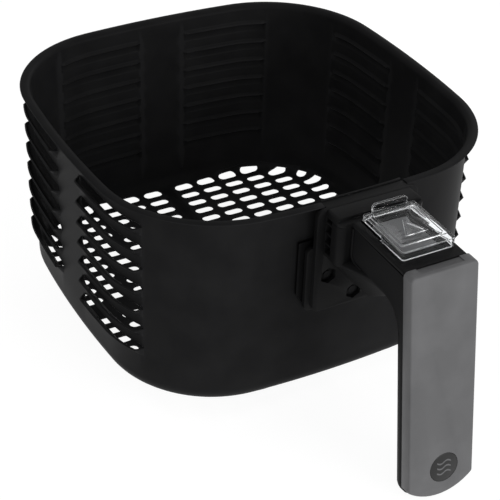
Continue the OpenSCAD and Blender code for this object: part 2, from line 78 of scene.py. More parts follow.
LOUVRES = 7                       # louvres one above the other in a stack
PITCH = 12.3                      # height from one louvre to the next
STACK = (14.0, 68.0)              # ends of a stack, along the wall from the middle of its side
STACK_SIDE = {1: (11.5, 68.0), 2: (16.3, 73.2), 3: (14.0, 73.0)}  # side stacks that differ
LOUVRE_EASE = 3.0                 # length over which a louvre rises from the wall
CUT_LINE = TOP - 11.85            # height of the cut between a lip and its ramp
LIP_OUT = 4.0                     # how far a lip stands out of the wall
RAMP_IN = 1.5                     # how far its ramp is pressed in above it
RAMP_TOP = TOP - 9.3
RAMP_LOW = TOP - 11.5
LIP_TOP = TOP - 12.2
LIP_ROOT = TOP - 17.2

SLOT_L, SLOT_W = 11.9, 5.8        # the floor's slots
SLOT_DX, SLOT_DY = 15.5, 9.55     # from slot to slot and from row to row
SLOT_X0, SLOT_Y0 = 10.75, 9.6     # the first slot, from the floor's middle lines
SLOT_ROWS = [6, 6, 6, 6, 6, 6, 6, 5, 5, 4]     # slots per row in a quarter of the floor
SHORT_SLOT, SHORT_ROW = 6.5, 7    # length of a short slot, and the row that ends with it

HANDLE_X = (BRACKET_LOW.x + BRACKET_HIGH.x) / 2
BLOCK_HW, NECK_HW = 24.0, 17.5    # half widths
PLATE_HW, LAND_HW = 28.5, 31.5
FRONT_Y = -112.5                  # front of the mounting plate
LAND_Y = -106.8                   # back of its lands
PLATE_Y = -109.3                  # back of the plate between the lands
RAISED_Y = -122.0                 # front of the block's raised top
STEP_Y = -125.5                   # front of the block
NECK_TOP = TOP - 2.4
LID_SEAM = LID_LOW.z
BLOCK_LOW = TOP - 27.0
NECK_LOW = TOP - 27.6
TILT = math.radians(8.6)
GRIP_Y = -176.0                   # front of the grip at its top
GRIP_TOP = NECK_TOP - 0.2
COVER_DEPTH = 6.6                 # depth of the grip's grey shell
CORE_DEPTH = 15.4                 # from the grip's front to its back
SCREWS = [(-20.4, TOP - 40.3), (20.4, TOP - 40.3), (-4.8, TOP - 54.5), (4.8, TOP - 54.5)]


# ---------------------------------------------------------------- mesh helpers
def make_object(name, verts, faces):
    """A new object from points in millimetres."""
    mesh = bpy.data.meshes.new(name)
    mesh.from_pydata([Vector(v) * MM for v in verts], [], faces)
    mesh.validate()
    obj = bpy.data.objects.new(name, mesh)
    bpy.context.scene.collection.objects.link(obj)
    tidy_normals(obj)
    smooth(obj, 35.0)
    return obj


def tidy_normals(obj):
    """Joins doubled points and turns all faces outwards."""
    bm = bmesh.new()
    bm.from_mesh(obj.data)
    bmesh.ops.remove_doubles(bm, verts=bm.verts, dist=1e-7)
    bmesh.ops.recalc_face_normals(bm, faces=bm.faces)
    bm.to_mesh(obj.data)
    bm.free()


def smooth(obj, angle):
    """Smooth shading, with edges sharper than the angle left crisp."""
    obj.data.shade_smooth()
    obj.data.set_sharp_from_angle(angle=math.radians(angle))


def apply_modifiers(obj):
    """Replaces the mesh by what its modifiers make of it."""
    graph = bpy.context.evaluated_depsgraph_get()
    mesh = bpy.data.meshes.new_from_object(obj.evaluated_get(graph))
    old = obj.data
    obj.modifiers.clear()
    obj.data = mesh
    bpy.data.meshes.remove(old)


def combine(obj, others, operation):
    """Union with or difference from other solids, which are used up."""
    for other in others:
        modifier = obj.modifiers.new("combine", "BOOLEAN")
        modifier.operation = operation
        modifier.solver = "EXACT"
        modifier.object = other
    apply_modifiers(obj)
    for other in others:
        bpy.data.objects.remove(other)
    bm = bmesh.new()
    bm.from_mesh(obj.data)
    bmesh.ops.dissolve_limit(bm, angle_limit=math.radians(0.5), verts=bm.verts, edges=bm.edges)
    bm.to_mesh(obj.data)
    bm.free()
    return obj


def bevel(obj, width, segments=3, angle=30.0, material=-1):
    """Rounds every edge sharper than the angle; the new faces may have their own material."""
    modifier = obj.modifiers.new("bevel", "BEVEL")
    modifier.material = material
    modifier.width = width * MM
    modifier.segments = segments
    modifier.limit_method = "ANGLE"
    modifier.angle_limit = math.radians(angle)
    modifier.harden_normals = False
    apply_modifiers(obj)
    smooth(obj, 40.0)
    return obj


def upright(p, z):
    """An outline in X and Y, extruded upwards."""
    return (p[0], p[1], z)


def along_y(p, y):
    """An outline in X and Z, extruded along Y."""
    return (p[0], y, p[1])


def along_x(p, x):
    """An outline in Y and Z, extruded along X."""
    return (x, p[0], p[1])


def prism(name, outline, low, high, place=upright):
    """A solid from a closed outline, extruded from one distance to another."""
    n = len(outline)
    verts = [place(p, low) for p in outline] + [place(p, high) for p in outline]
    faces = [tuple(range(n))[::-1], tuple(range(n, 2 * n))]
    faces += [(i, (i + 1) % n, (i + 1) % n + n, i + n) for i in range(n)]
    return make_object(name, verts, faces)


def box_solid(name, low, high):
    """A box between two opposite corners."""
    outline = [(low[0], low[1]), (high[0], low[1]), (high[0], high[1]), (low[0], high[1])]
    return prism(name, outline, low[2], high[2])


def arc(cx, cy, radius, start, stop, steps):
    """Points on an arc, angles in degrees."""
    turn = [math.radians(start + (stop - start) * i / steps) for i in range(steps + 1)]
    return [(cx + radius * math.cos(a), cy + radius * math.sin(a)) for a in turn]


def rounded_box_outline(x0, y0, x1, y1, radius):
    """A rectangle with rounded corners."""
    steps = 6
    return (arc(x1 - radius, y1 - radius, radius, 0, 90, steps)
            + arc(x0 + radius, y1 - radius, radius, 90, 180, steps)
            + arc(x0 + radius, y0 + radius, radius, 180, 270, steps)
            + arc(x1 - radius, y0 + radius, radius, 270, 360, steps))


def soften(obj, chosen, width, segments):
    """Rounds the edges that satisfy a test."""
    bm = bmesh.new()
    bm.from_mesh(obj.data)
    edges = [e for e in bm.edges if chosen(e)]
    bmesh.ops.bevel(bm, geom=edges, offset=width * MM, segments=segments, profile=0.5,
                    affect="EDGES", clamp_overlap=True)
    bm.to_mesh(obj.data)
    bm.free()


def edge_angle(edge):
    """Angle between the edge's two faces, in radians."""
    return edge.calc_face_angle(0.0) if len(edge.link_faces) == 2 else 0.0


# ---------------------------------------------------------------- materials
def new_material(name, color, roughness, metallic=0.0, specular=0.5):
    """A material with its node tree and its shader."""
    material = bpy.data.materials.new(name)
    material.use_nodes = True
    nodes = material.node_tree.nodes
    shader = nodes["Principled BSDF"]
    shader.inputs["Metallic"].default_value = metallic
    shader.inputs["Specular IOR Level"].default_value = specular
    shader.inputs["Base Color"].default_value = (*color, 1.0)
    shader.inputs["Roughness"].default_value = roughness
    return material, material.node_tree, shader


def noise(tree, scale, detail=3.0, rough=0.5):
    """Noise in the object's own coordinates, with the scale in waves per metre."""
    coords = tree.nodes.new("ShaderNodeTexCoord")
    texture = tree.nodes.new("ShaderNodeTexNoise")
    texture.inputs["Scale"].default_value = scale
    texture.inputs["Detail"].default_value = detail
    texture.inputs["Roughness"].default_value = rough
    tree.links.new(coords.outputs["Object"], texture.inputs["Vector"])
    return texture.outputs["Fac"]


def vary_color(tree, shader, fac, dark, light):
    """Colour between two shades, following the middle part of a noise."""
    ramp = tree.nodes.new("ShaderNodeValToRGB")
    ramp.color_ramp.elements[0].position = 0.35
    ramp.color_ramp.elements[0].color = (*dark, 1.0)
    ramp.color_ramp.elements[1].position = 0.65
    ramp.color_ramp.elements[1].color = (*light, 1.0)
    tree.links.new(fac, ramp.inputs["Fac"])
    tree.links.new(ramp.outputs["Color"], shader.inputs["Base Color"])
    return ramp


def vary_roughness(tree, shader, fac, low, high):
    """Roughness between two values, following a noise."""
    scale = tree.nodes.new("ShaderNodeMapRange")
    scale.inputs["To Min"].default_value = low
    scale.inputs["To Max"].default_value = high
    tree.links.new(fac, scale.inputs["Value"])
    tree.links.new(scale.outputs["Result"], shader.inputs["Roughness"])


def bump(tree, shader, heights):
    """Bump from several (height, strength, distance in millimetres)."""
    last = None
    for height, strength, distance in heights:
        node = tree.nodes.new("ShaderNodeBump")
        node.inputs["Strength"].default_value = strength
        node.inputs["Distance"].default_value = distance * MM
        tree.links.new(height, node.inputs["Height"])
        if last:
            tree.links.new(last.outputs["Normal"], node.inputs["Normal"])
        last = node
    tree.links.new(last.outputs["Normal"], shader.inputs["Normal"])


def edge_wear(tree, ramp, shader, worn, amount):
    """Lightens the exposed edges a little; the mix's colours are sockets 6, 7 and 2."""
    geometry = tree.nodes.new("ShaderNodeNewGeometry")
    mask = tree.nodes.new("ShaderNodeMapRange")
    mask.inputs["From Min"].default_value = 0.53
    mask.inputs["From Max"].default_value = 0.62
    mask.inputs["To Max"].default_value = amount
    tree.links.new(geometry.outputs["Pointiness"], mask.inputs["Value"])
    mix = tree.nodes.new("ShaderNodeMix")
    mix.data_type = "RGBA"
    mix.inputs[7].default_value = (*worn, 1.0)
    tree.links.new(mask.outputs["Result"], mix.inputs[0])
    tree.links.new(ramp.outputs["Color"], mix.inputs[6])
    tree.links.new(mix.outputs[2], shader.inputs["Base Color"])


def nonstick_material():
    """Semi-matt black coating: fine orange peel, faint mottling, thin wear on edges."""
    material, tree, shader = new_material("nonstick_coating", (0.010, 0.010, 0.0105), 0.50,
                                          specular=0.025)
    peel = noise(tree, 1500.0, 2.0)
    mottle = noise(tree, 60.0, 4.0)
    ramp = vary_color(tree, shader, mottle, (0.0095, 0.0095, 0.0099), (0.0125, 0.0125, 0.0129))
    edge_wear(tree, ramp, shader, (0.022, 0.022, 0.023), 0.5)
    vary_roughness(tree, shader, mottle, 0.40, 0.52)
    bump(tree, shader, [(peel, 0.25, 0.05), (noise(tree, 260.0, 2.0), 0.12, 0.15)])
    return material


def plastic_material(name, color, roughness, grain=2600.0, specular=0.35, depth=0.3):
    """Moulded plastic with a fine spark-eroded grain."""
    material, tree, shader = new_material(name, color, roughness, specular=specular)
    fine = noise(tree, grain, 3.0, 0.6)
    broad = noise(tree, 45.0, 3.0)
    dark = tuple(0.90 * c for c in color)
    light = tuple(1.08 * c for c in color)
    vary_color(tree, shader, broad, dark, light)
    vary_roughness(tree, shader, fine, roughness - 0.05, roughness + 0.07)
    bump(tree, shader, [(fine, depth, 0.04)])
    return material


def metal_material(name, color, roughness):
    """Metal with a fine even grain."""
    material, tree, shader = new_material(name, color, roughness, metallic=1.0)
    grain = noise(tree, 900.0, 4.0, 0.6)
    dark = tuple(0.75 * c for c in color)
    vary_color(tree, shader, grain, dark, color)
    vary_roughness(tree, shader, grain, roughness - 0.06, roughness + 0.1)
    bump(tree, shader, [(grain, 0.15, 0.03)])
    return material


def clear_material(name, roughness, transmission, color):
    """Clear polycarbonate with a faint flow pattern in its gloss."""
    material, tree, shader = new_material(name, color, roughness)
    shader.inputs["Transmission Weight"].default_value = transmission
    shader.inputs["IOR"].default_value = 1.22
    flow = noise(tree, 90.0, 1.0)
    vary_roughness(tree, shader, flow, roughness, roughness + 0.03)
    return material


NONSTICK = nonstick_material()
BLACK = plastic_material("black_plastic", (0.0070, 0.0070, 0.0073), 0.50, specular=0.06)
BLACK_COVER = plastic_material("black_cover_plastic", (0.0070, 0.0070, 0.0073), 0.48,
                               specular=0.07)
GREY = plastic_material("grey_plastic", (0.115, 0.115, 0.118), 0.42, 3000.0, 0.12, 0.2)
BUTTON_GREY = plastic_material("button_grey", (0.170, 0.170, 0.172), 0.45, 2400.0, 0.1, 0.25)
DARK_MARK = plastic_material("mark_black", (0.012, 0.012, 0.012), 0.30, 1800.0, 0.3, 0.1)
BLACK_STEEL = metal_material("black_steel", (0.012, 0.012, 0.0125), 0.5)
ZINC = metal_material("zinc_plate", (0.55, 0.55, 0.56), 0.32)
BRIGHT_STEEL = metal_material("bright_steel", (0.62, 0.62, 0.63), 0.25)
CLEAR = clear_material("clear_polycarbonate", 0.01, 1.0, (0.97, 0.98, 0.99))
# Whiter, cloudier copy of the clear plastic for the guard's bevelled edges: a painted highlight
# that stands in for bright edge reflections.
PAINTED_EDGE_HIGHLIGHT = clear_material("clear_edge_painted_highlight", 0.20, 0.45, (0.95, 0.96, 0.97))


def finish_piece(obj, material, body, slot, *nodes):
    """Gives a piece its material and body, and hides the CAD nodes that it stands for; the slot is
    not used.
    """
    obj.data.materials.clear()
    obj.data.materials.append(material)
    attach(obj, body)
    if nodes:
        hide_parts(*nodes)
    return obj


# ---------------------------------------------------------------- basket
CORNER_X = HALF_W - CROWN - CORNER
CORNER_Y = HALF_D - CROWN - CORNER
BOW_X = 2 * math.atan(CROWN / CORNER_Y)
BOW_Y = 2 * math.atan(CROWN / CORNER_X)
SIDE_RX = CORNER + CORNER_Y / math.sin(BOW_X)
SIDE_RY = CORNER + CORNER_X / math.sin(BOW_Y)
SIDE_LX = SIDE_RX * BOW_X
CORNER_L = CORNER * (math.pi / 2 - BOW_X - BOW_Y)
SIDE_LY = SIDE_RY * BOW_Y
QUARTER = SIDE_LX + CORNER_L + SIDE_LY
RIM_CUT = BLOCK_HW - 0.4          # half width of the gap in the rim for the handle
NOTCH = 0.7                       # cut between the rim's end and the bare edge
BEND = 3.0                        # radius of the rim's bend
FOOT_JOIN = -50                   # angle on the rounded foot where floor and wall meet
BEAD_HW, BEAD_L = 2.8, 90.0       # half width and half length of the floor's bead
BEAD_H = 0.55
BEAD_FADE = 5.0                   # length over which the bead's ends run out
STATION_STEP = 3.0                # about how far apart the wall's stations are


def wall_point(s, d):
    """A point d outside the wall's inside, s along it from the middle of the +X side."""
    if s < SIDE_LX:
        a = s / SIDE_RX
        return (HALF_W - SIDE_RX + (SIDE_RX + d) * math.cos(a), (SIDE_RX + d) * math.sin(a))
    if s < SIDE_LX + CORNER_L:
        a = BOW_X + (s - SIDE_LX) / CORNER
        return (CORNER_X + (CORNER + d) * math.cos(a), CORNER_Y + (CORNER + d) * math.sin(a))
    a = math.pi / 2 - (QUARTER - s) / SIDE_RY
    return ((SIDE_RY + d) * math.cos(a), HALF_D - SIDE_RY + (SIDE_RY + d) * math.sin(a))


def wall_distance(x, y):
    """Distance of a point outwards from the wall's inside."""
    x, y = abs(x), abs(y)
    if y < (x - HALF_W + SIDE_RX) * math.tan(BOW_X):
        return math.hypot(x - HALF_W + SIDE_RX, y) - SIDE_RX
    if x < (y - HALF_D + SIDE_RY) * math.tan(BOW_Y):
        return math.hypot(x, y - HALF_D + SIDE_RY) - SIDE_RY
    return math.hypot(x - CORNER_X, y - CORNER_Y) - CORNER


class Station:
    """One upright line of the wall: its quarter and its distance from the +-X side's middle."""

    def __init__(self, quarter, s):
        self.sign = [(1, 1), (-1, 1), (-1, -1), (1, -1)][quarter]
        self.s = s
        self.lift = 0.0
        for low, high in stacks(quarter):
            if low < s < high:
                share = min(1.0, min(s - low, high - s) / LOUVRE_EASE)
                self.lift = share * share * (3 - 2 * share)

    def at(self, d, z):
        """Point at a distance outwards and a height."""
        x, y = wall_point(self.s, d)
        return (x * self.sign[0], y * self.sign[1], z)


def stacks(quarter):
    """Start and end of the quarter's stacks of louvres, as distances like a station's."""
    ends = [STACK_SIDE.get(quarter, STACK)]
    if quarter in (0, 1):
        ends.append((QUARTER - STACK[1], QUARTER - STACK[0]))
    return ends


def quarter_stations(quarter):
    """Stations of one quarter, with one at every mark where the wall changes."""
    marks = {0.0, QUARTER}
    for low, high in stacks(quarter):
        for ease in (0.0, 0.35, 0.7, 1.0):
            marks.add(low + ease * LOUVRE_EASE)
            marks.add(high - ease * LOUVRE_EASE)
    if quarter in (2, 3):
        middle = abs(HANDLE_X - RIM_CUT) if quarter == 2 else HANDLE_X + RIM_CUT
        for x in (middle, middle - NOTCH):
            marks.add(QUARTER - SIDE_RY * math.asin(x / SIDE_RY))
    marks = sorted(marks)
    steps = []
    for a, b in zip(marks, marks[1:]):
        n = max(1, round((b - a) / STATION_STEP))
        steps += [a + (b - a) * i / n for i in range(n)]
    if quarter in (1, 3):
        return [Station(quarter, s) for s in (steps + [QUARTER])[:0:-1]]
    return [Station(quarter, s) for s in steps]


def all_stations():
    """Stations all the way round, from the middle of the +X side."""
    return [st for quarter in range(4) for st in quarter_stations(quarter)]


def in_stack(a, b):
    """Whether the wall between two stations has louvres."""
    return a.lift > 0 or b.lift > 0


def rim_state(a, b):
    """Whether the rim is whole, cut away to a bare edge, or notched between two stations."""
    x = (a.at(0, 0)[0] + b.at(0, 0)[0]) / 2 - HANDLE_X
    if a.at(0, 0)[1] > 0 or abs(x) > RIM_CUT:
        return "whole"
    return "bare" if abs(x) < RIM_CUT - NOTCH else "notch"


def foot_ring(angle):
    """Distance and height of the rounded foot's inside, -90 degrees at the floor."""
    inner = FOOT - SHEET
    turn = math.radians(angle)
    return SHEET - FOOT + inner * math.cos(turn), FOOT + inner * math.sin(turn)


def wall_rows():
    """(distance outwards, height, opens a slit above) from the floor to the rim."""
    rows = [(*foot_ring(angle), False) for angle in range(FOOT_JOIN, 1, 10)]
    for k in reversed(range(LOUVRES)):
        rows.append((0.0, LIP_ROOT - k * PITCH, True))
        rows.append((0.0, RAMP_TOP - k * PITCH, False))
    rows.append((0.0, TOP - BEND, False))
    return rows


def raised(flat, bent, lift):
    """Point between the flat and the bent profile."""
    return tuple(f + (b - f) * lift for f, b in zip(flat, bent))


# Louvre profiles as (flat, bent) pairs of (distance outwards, height)
LIP = [((0.0, LIP_ROOT + 0.55), (0.2, LIP_ROOT + 0.55)),
       ((0.0, LIP_ROOT + 1.2), (0.6, LIP_ROOT + 1.05)),
       ((0.0, CUT_LINE - 0.5), (LIP_OUT - 0.25, LIP_TOP - 0.3)),
       ((0.0, CUT_LINE - 0.15), (LIP_OUT, LIP_TOP))]
RAMP = [((0.0, RAMP_TOP - 0.5), (-0.1, RAMP_TOP - 0.5)),
        ((0.0, RAMP_TOP - 0.95), (-0.35, RAMP_TOP - 0.95)),
        ((0.0, CUT_LINE + 0.15), (-RAMP_IN, RAMP_LOW))]


def shell_surface():
    """Inside of the wall from the foot to the rim, as points, faces and the wall's stations."""
    stations = all_stations()
    rows = wall_rows()
    bend = [(BEND - BEND * math.cos(math.radians(a)), TOP - BEND + BEND * math.sin(math.radians(a)))
            for a in (18, 36, 54, 72, 90)]
    rim = bend + [(RIM - 0.9, TOP - 0.05), (RIM - 0.3, TOP - 0.25), (RIM, TOP - 0.7)]
    verts, index, faces = [], {}, []

    def vertex(i, key, d, z):
        if (i, key) not in index:
            index[(i, key)] = len(verts)
            verts.append(stations[i].at(d, z))
        return index[(i, key)]

    def strip(i, j, line_i, line_j):
        """Faces between two stations along their lines of (key, distance, height), going up."""
        for low_i, high_i, low_j, high_j in zip(line_i, line_i[1:], line_j, line_j[1:]):
            faces.append((vertex(i, *low_i), vertex(i, *high_i),
                          vertex(j, *high_j), vertex(j, *low_j)))

    def patch(kind, r, shape, drop, station):
        line = []
        for m, (flat, bent) in enumerate(shape):
            d, z = raised(flat, bent, station.lift)
            line.append(((kind, r, m), d, z - drop))
        return line

    count = len(stations)
    for i in range(count):
        j = (i + 1) % count
        a, b = stations[i], stations[j]
        line = [(("row", r), d, z) for r, (d, z, _) in enumerate(rows)]
        start = 0
        for r, (_, height, slit) in enumerate(rows):
            if slit and in_stack(a, b):
                strip(i, j, line[start:r + 1], line[start:r + 1])
                start = r + 1
                drop = LIP_ROOT - height
                lips = [[line[r]] + patch("lip", r, LIP, drop, st) for st in (a, b)]
                strip(i, j, *lips)
                ramps = [patch("ramp", r, RAMP, drop, st)[::-1] + [line[r + 1]] for st in (a, b)]
                strip(i, j, *ramps)
        strip(i, j, line[start:], line[start:])
        last = line[-1]
        state = rim_state(a, b)
        if state == "whole":
            top = [last] + [(("rim", r), d, z) for r, (d, z) in enumerate(rim)]
            strip(i, j, top, top)
        if state == "bare":
            top = [last, ("edge", 0.0, TOP)]
            strip(i, j, top, top)
    return verts, faces, stations


def slot_outline(cx, cy, length):
    """A slot with round ends."""
    radius = SLOT_W / 2
    half = (length - SLOT_W) / 2
    return (arc(cx + half, cy, radius, -90, 90, 8) + arc(cx - half, cy, radius, 90, 270, 8))


def slot_places():
    """(x, y, length) of every slot in the floor."""
    places = []
    for sx in (-1, 1):
        for sy in (-1, 1):
            for k, count in enumerate(SLOT_ROWS):
                y = sy * (SLOT_Y0 + k * SLOT_DY)
                places += [(sx * (SLOT_X0 + i * SLOT_DX), y, SLOT_L) for i in range(count)]
                if k == SHORT_ROW:
                    x = SLOT_X0 + count * SLOT_DX - (SLOT_L - SHORT_SLOT) / 2
                    places.append((sx * x, y, SHORT_SLOT))
    return places


def in_slot(x, y, place):
    """Whether a point of the floor lies in a slot."""
    cx, cy, length = place
    along = max(abs(x - cx) - (length - SLOT_W) / 2, 0.0)
    return math.hypot(along, y - cy) < SLOT_W / 2


def floor_height(x, y):
    """Height of the floor's inside: flat, with a bead down the middle and a rounded foot."""
    inner = FOOT - SHEET
    over = wall_distance(x, y) + inner
    height = SHEET if over <= 0 else FOOT - math.sqrt(max(inner ** 2 - over ** 2, 0.0))
    if abs(x) < BEAD_HW and abs(y) < BEAD_L:
        fade = min(1.0, (BEAD_L - abs(y)) / BEAD_FADE)
        height += BEAD_H * fade * math.cos(math.pi / 2 * x / BEAD_HW) ** 2
    return height


def floor_surface(stations):
    """The floor as a fine net of triangles around its slots, up to the wall's first row."""
    points, edges = [], []

    def add_loop(loop, closed=True):
        base = len(points)
        points.extend(Vector(p) for p in loop)
        last = len(loop) if closed else len(loop) - 1
        edges.extend((base + i, base + (i + 1) % len(loop)) for i in range(last))

    for angle in range(FOOT_JOIN, -91, -10):
        add_loop([station.at(foot_ring(angle)[0], 0)[:2] for station in stations])
    places = slot_places()
    for place in places:
        add_loop(slot_outline(*place))
    bead_marks = (-BEAD_L, BEAD_FADE - BEAD_L, BEAD_L - BEAD_FADE, BEAD_L)
    for step in range(-4, 5):
        x = BEAD_HW * step / 4
        add_loop([(x, y) for y in bead_marks], closed=False)
    flat, _, faces, _, _, _ = delaunay_2d_cdt(points, edges, [], 0, 1e-5)
    verts = [(p.x, p.y, floor_height(p.x, p.y)) for p in flat]
    kept = []
    for face in faces:
        x = sum(flat[i].x for i in face) / len(face)
        y = sum(flat[i].y for i in face) / len(face)
        near = [p for p in places if abs(x - p[0]) < SLOT_L and abs(y - p[1]) < SLOT_W]
        if not any(in_slot(x, y, place) for place in near):
            kept.append(tuple(face))
    return verts, kept


def build_basket():
    """The pressed sheet: its inside surface, thickened outwards, with soft cut edges."""
    verts, faces, stations = shell_surface()
    floor_verts, floor_faces = floor_surface(stations)
    base = len(verts)
    verts += floor_verts
    faces += [tuple(base + i for i in face) for face in floor_faces]
    mesh = bpy.data.meshes.new("basket")
    mesh.from_pydata([Vector(v) * MM for v in verts], [], faces)
    basket = bpy.data.objects.new("basket", mesh)
    bpy.context.scene.collection.objects.link(basket)
    bm = bmesh.new()
    bm.from_mesh(mesh)
    bmesh.ops.remove_doubles(bm, verts=bm.verts, dist=0.004 * MM)
    bm.to_mesh(mesh)
    bm.free()
    thicken = basket.modifiers.new("sheet", "SOLIDIFY")
    thicken.thickness = SHEET * MM
    thicken.offset = -1.0
    thicken.use_even_offset = True
    edges = basket.modifiers.new("edges", "BEVEL")
    edges.width = 0.2 * MM
    edges.segments = 2
    edges.limit_method = "ANGLE"
    edges.angle_limit = math.radians(60)
    apply_modifiers(basket)
    smooth(basket, 38.0)
    return finish_piece(basket, NONSTICK, "basket", "nonstick_steel", "basket_shell")


# ---------------------------------------------------------------- handle
GRIP = (Matrix.Translation((HANDLE_X, GRIP_Y, GRIP_TOP)) @ Matrix.Rotation(-TILT, 4, "X"))
GRIP_SHIFT = 0.9                  # the grip's shell stands a little right of the neck
GRIP_LENGTH = 125.0
BADGE_X = (BADGE_LOW.x + BADGE_HIGH.x) / 2 - HANDLE_X
BADGE_DOWN = 15.5 - GRIP_LENGTH   # middle of the badge, in the grip's own height
BADGE_R = 8.0
PLATE_FOOT = TOP - 61
RIM_PLAY = 0.3                    # room between the moulding and the rim
FOOT_X = 12.5                     # the guard's feet, from the handle's middle


def grip_point(depth, down):
    """(y, z) of a point that far behind the grip's front and that far down it."""
    point = GRIP @ Vector((0, depth, -down))
    return (point.y, point.z)


def on_grip(p, depth):
    """An outline in the grip's own X and Z, extruded into its depth."""
    return tuple(GRIP @ Vector((p[0], depth, p[1])))


def shifted(outline):
    """The outline moved from the handle's middle to its place."""
    return [(x + HANDLE_X, y) for x, y in outline]


def both_sides(inner, outer):
    """Range in X on the left and on the right, from distances to the handle's middle."""
    return [(HANDLE_X - outer, HANDLE_X - inner), (HANDLE_X + inner, HANDLE_X + outer)]


def plate_solid():
    """The mounting plate, and the wider lands by which it rests on the bracket."""
    outline = rounded_box_outline(-PLATE_HW, PLATE_FOOT, PLATE_HW, TOP - 0.5, 4.0)
    plate = prism("plate", shifted(outline), PLATE_Y, FRONT_Y, along_y)
    outline = rounded_box_outline(-LAND_HW, PLATE_FOOT, LAND_HW, TOP - 23.5, 3.0)
    lands = prism("lands", shifted(outline), LAND_Y, PLATE_Y - 0.4, along_y)
    bevel(plate, 0.3, 3)
    bevel(lands, 0.4, 3)
    return plate, lands


def block_outline(back):
    """The block seen from above, with its front corners rounded."""
    r = 4.0
    return ([(BLOCK_HW, back)] + arc(BLOCK_HW - r, STEP_Y + r, r, 0, -90, 5)
            + arc(r - BLOCK_HW, STEP_Y + r, r, 270, 180, 5) + [(-BLOCK_HW, back)])


def block_solid():
    """The block under the rim, up to the seam of its cover."""
    block = prism("block", shifted(block_outline(LAND_Y + 1.0)), BLOCK_LOW, LID_SEAM)
    bevel(block, 0.6, 3, 60)
    return block


def rim_filling():
    """Top of the moulding in the rim's cut, level with the rim."""
    hw = RIM_CUT - RIM_PLAY
    filling = box_solid("filling", (HANDLE_X - hw, PLATE_Y - 1, LID_SEAM - 1),
                        (HANDLE_X + hw, SHELL_FRONT - 0.2, TOP - 0.5))
    return bevel(filling, 0.15, 2, 60)


def neck_solid():
    """Neck and back of the grip in one sweep, with round lower and rear edges."""
    root = STEP_Y + 3                 # inside the block
    bend = 12.5                       # radius of the bend under the neck
    bend_z = NECK_LOW - bend
    end = math.degrees(TILT)
    end_z = bend_z + bend * math.sin(math.radians(180 - end))
    down = (GRIP_TOP - CORE_DEPTH * math.sin(TILT) - end_z) / math.cos(TILT)
    bend_y = grip_point(CORE_DEPTH, down)[0] + bend * math.cos(TILT)
    foot = GRIP_LENGTH - 1.5
    joint = COVER_DEPTH + 0.05        # just behind the grey shell
    outline = ([(root, NECK_LOW)] + arc(bend_y, bend_z, bend, 90, 180 - end, 10)
               + [grip_point(CORE_DEPTH, foot - 5), grip_point(CORE_DEPTH - 2, foot - 1.5),
                  grip_point(CORE_DEPTH - 5, foot), grip_point(joint, foot),
                  grip_point(joint, 1.7), (root, LID_SEAM)])
    neck = prism("neck", outline, HANDLE_X - NECK_HW, HANDLE_X + NECK_HW, along_x)
    grip_starts = -160.0              # behind this the top edges stay crisp for the cover

    def outer(edge):
        a, b = edge.verts[0].co / MM, edge.verts[1].co / MM
        if abs(a.x - b.x) > 0.1:
            return False
        middle = (a + b) / 2
        local = GRIP.inverted() @ middle
        return middle.z < LID_SEAM - 1 and (local.y > joint + 1 or middle.y > grip_starts)

    soften(neck, outer, 6.5, 8)
    smooth(neck, 35.0)
    return neck


def collar_solid():
    """Low bead on the neck's sides: up along the block, and forward above the lower edge."""
    low, top, front, back = NECK_LOW + 4.0, LID_SEAM - 0.3, -136.0, STEP_Y - 2.0
    width, proud = 1.5, 0.6
    outer = rounded_box_outline(front - 8, low, back + width, top + 8, 5.5)
    inner = rounded_box_outline(front - 10, low + width, back, top + 10, 4.5)
    x = NECK_HW + proud
    collar = prism("collar", outer, HANDLE_X - x, HANDLE_X + x, along_x)
    hollow = prism("collar_hole", inner, HANDLE_X - x - 1, HANDLE_X + x + 1, along_x)
    front_cut = box_solid("collar_front", (HANDLE_X - 30, front - 12, 0),
                          (HANDLE_X + 30, front, TOP + 30))
    top_cut = box_solid("collar_top", (HANDLE_X - 30, front - 12, top),
                        (HANDLE_X + 30, back + 12, TOP + 30))
    combine(collar, [hollow, front_cut, top_cut], "DIFFERENCE")
    return bevel(collar, 0.45, 3, 40)


def web_solid():
    """Web from a V on the plate, and from the front of the block, down under the neck."""
    root = FRONT_Y + 0.4              # inside the plate
    under_block = BLOCK_LOW + 0.5
    neck_side = NECK_HW - 0.15
    points = [(0.0, root, TOP - 53.5)]
    for side in (-1, 1):
        points += [
            (side * (BLOCK_HW - 0.3), root, under_block),
            (side * 11.4, root, TOP - 42.4),
            (side * (BLOCK_HW - 1.5), STEP_Y + 3.0, under_block),
            (side * (BLOCK_HW - 4.0), STEP_Y + 1.0, under_block),
            (side * neck_side, STEP_Y - 3.0, NECK_LOW + 4.5),
            (side * neck_side, STEP_Y - 20.0, NECK_LOW + 5.5),
            (side * (NECK_HW - 6.0), STEP_Y - 30.0, NECK_LOW + 0.5),
            (side * 3.0, STEP_Y + 1.5, TOP - 51.0),
        ]
    bm = bmesh.new()
    for x, y, z in points:
        bm.verts.new(Vector((x + HANDLE_X, y, z)) * MM)
    bmesh.ops.convex_hull(bm, input=bm.verts)
    mesh = bpy.data.meshes.new("web")
    bm.to_mesh(mesh)
    bm.free()
    web = bpy.data.objects.new("web", mesh)
    bpy.context.scene.collection.objects.link(web)
    return bevel(web, 1.0, 3, 15)


def hex_cutter(x, z, flats, y0, y1):
    """A hexagonal bar along Y, with that distance across its flats."""
    radius = flats / 2 / math.cos(math.radians(30))
    outline = [(x + HANDLE_X + radius * math.cos(math.radians(30 + 60 * i)),
                z + radius * math.sin(math.radians(30 + 60 * i))) for i in range(6)]
    return prism("hex", outline, y0, y1, along_y)


def round_cutter(x, z, radius, y0, y1):
    """A round bar along Y."""
    outline = arc(x + HANDLE_X, z, radius, 0, 360, 32)[:-1]
    return prism("round", outline, y0, y1, along_y)


